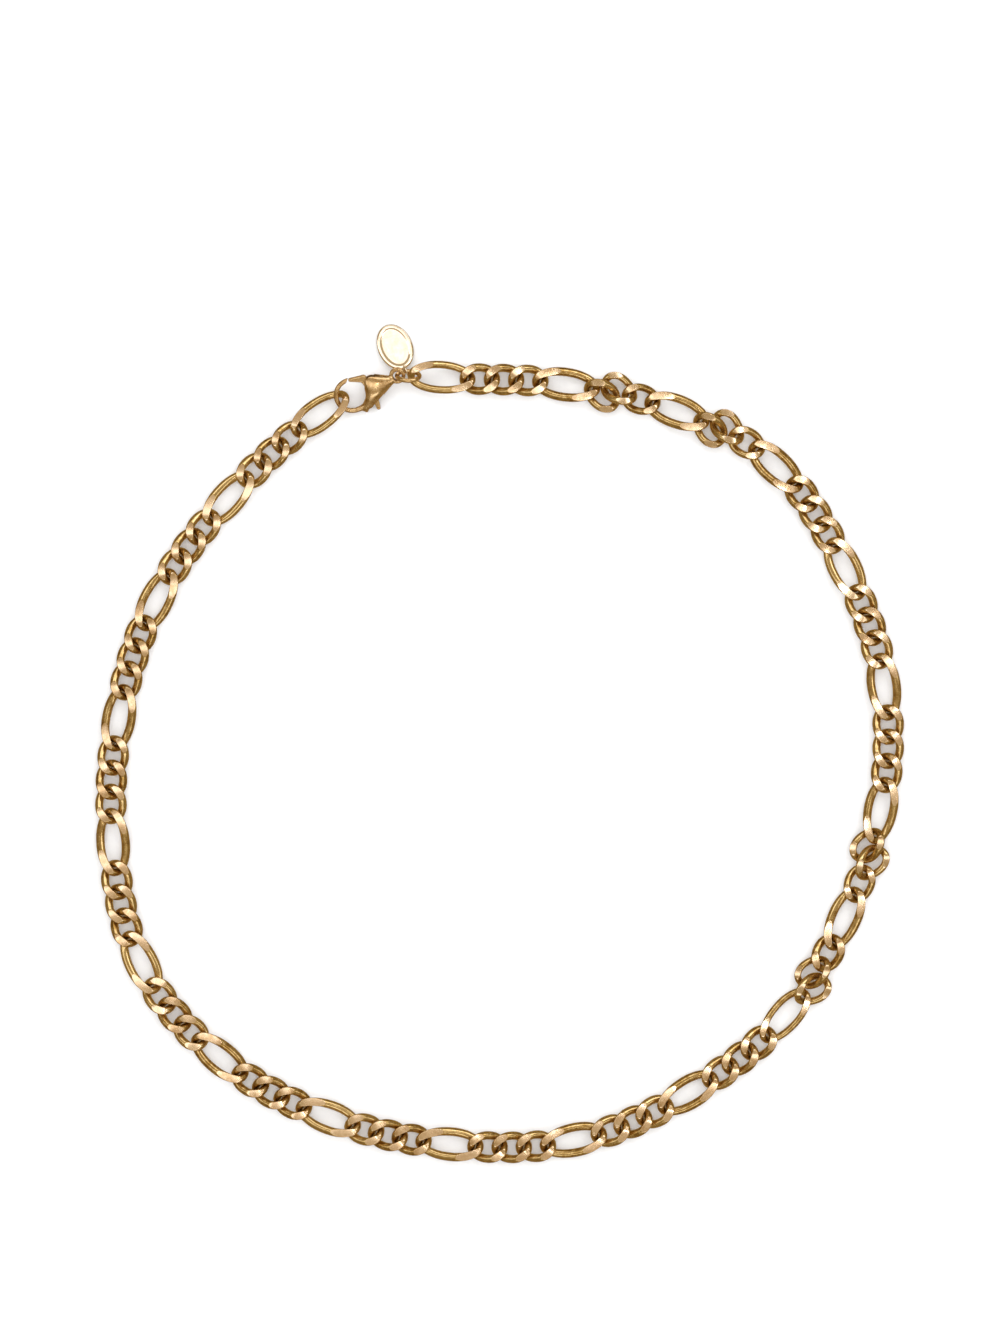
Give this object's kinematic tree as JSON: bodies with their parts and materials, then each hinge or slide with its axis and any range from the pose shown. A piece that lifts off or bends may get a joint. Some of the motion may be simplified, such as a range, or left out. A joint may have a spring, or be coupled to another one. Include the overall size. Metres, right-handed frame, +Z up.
{
  "type": "figaro chain necklace",
  "caption": "Closed curb-style chain of twisted and filed oval links in a repeating long and short pattern, with a lobster clasp, jump ring and small oval tag",
  "frame": {"origin": "middle of the necklace's outline, on the surface it lies on", "axes": "+Z up from the surface, +Y towards the clasp, +X to the right when seen from above with the clasp at the top"},
  "size_m": [0.1446, 0.1502, 0.0048],
  "materials": {
    "link_gold": "filed flats satin, wire polished, dark in the crevices",
    "clasp_gold": "worn polish",
    "ring_gold": "polished",
    "tag_gold": "mirror polish"
  },
  "bodies": {
    "necklace": {"chain_right": "link_gold", "chain_left": "link_gold", "clasp_body": "clasp_gold", "clasp_pin": "clasp_gold", "jump_ring": "ring_gold", "tag": "tag_gold"},
    "lever": {"clasp_lever": "clasp_gold"}
  },
  "joints": [
    {"name": "lever_pivot", "type": "hinge", "parent": "necklace", "child": "lever", "pos_m": [-0.0229, 0.06343, 0.00188], "axis": [0.0313, -0.3088, 0.9506], "range_deg": [0, 22], "stiffness_Nm_per_rad": 0.00005, "springref_deg": -20.05}
  ]
}
